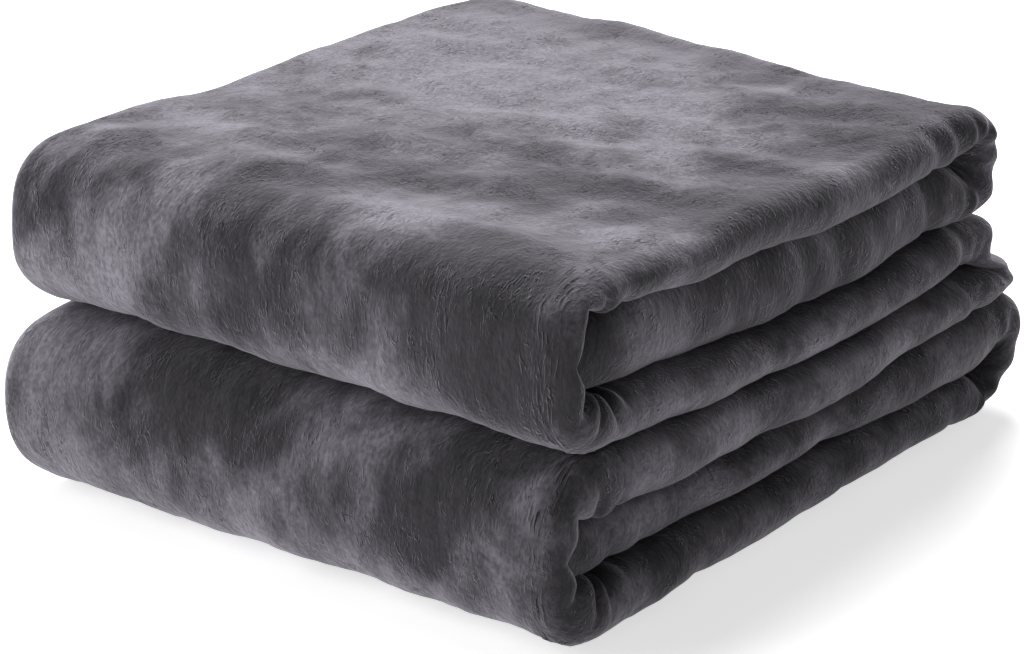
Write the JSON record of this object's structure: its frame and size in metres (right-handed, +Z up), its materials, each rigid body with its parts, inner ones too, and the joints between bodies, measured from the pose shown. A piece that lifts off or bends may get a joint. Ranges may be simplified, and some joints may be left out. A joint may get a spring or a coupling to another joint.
{
  "type": "folded throw blanket",
  "caption": "Plush throw blanket folded in quarters and stacked in two packets: rounded spines in front, rolled edges at the side. The upper packet opens like a book cover.",
  "frame": {"origin": "centre of the folded stack, on the surface it rests on", "axes": "-Y towards the two rounded spines, +X towards the rolled edges, -X towards the hems, +Z up"},
  "size_m": [0.3174, 0.37, 0.1557],
  "materials": {
    "plush_layer": "long-pile plush, dull with a velvety rim sheen",
    "plush_fold": "plush stretched round a fold, pile parted in fine lines",
    "hem": "turned and stitched plush edge"
  },
  "bodies": {
    "lower_half": {"joining_fold_lower": "plush_fold", "lower_back_fold": "plush_fold", "lower_bottom_inner_hem": "hem", "lower_bottom_layer": "plush_layer", "lower_bottom_outer_hem": "hem", "lower_front_spine": "plush_fold", "lower_inner_end_hem": "hem", "lower_inner_inner_hem": "hem", "lower_inner_layer": "plush_layer", "lower_inner_outer_hem": "hem", "lower_top_inner_hem": "hem", "lower_top_layer": "plush_layer", "lower_top_outer_hem": "hem"},
    "upper_half": {"joining_fold_upper": "plush_fold", "upper_back_fold": "plush_fold", "upper_bottom_inner_hem": "hem", "upper_bottom_layer": "plush_layer", "upper_bottom_outer_hem": "hem", "upper_front_spine": "plush_fold", "upper_inner_end_hem": "hem", "upper_inner_inner_hem": "hem", "upper_inner_layer": "plush_layer", "upper_inner_outer_hem": "hem", "upper_top_inner_hem": "hem", "upper_top_layer": "plush_layer", "upper_top_outer_hem": "hem"}
  },
  "joints": [
    {"name": "back_fold_opening", "type": "hinge", "parent": "lower_half", "child": "upper_half", "pos_m": [0, 0.18515, 0.07785], "axis": [-1, 0, 0], "range_deg": [0, 180]}
  ]
}
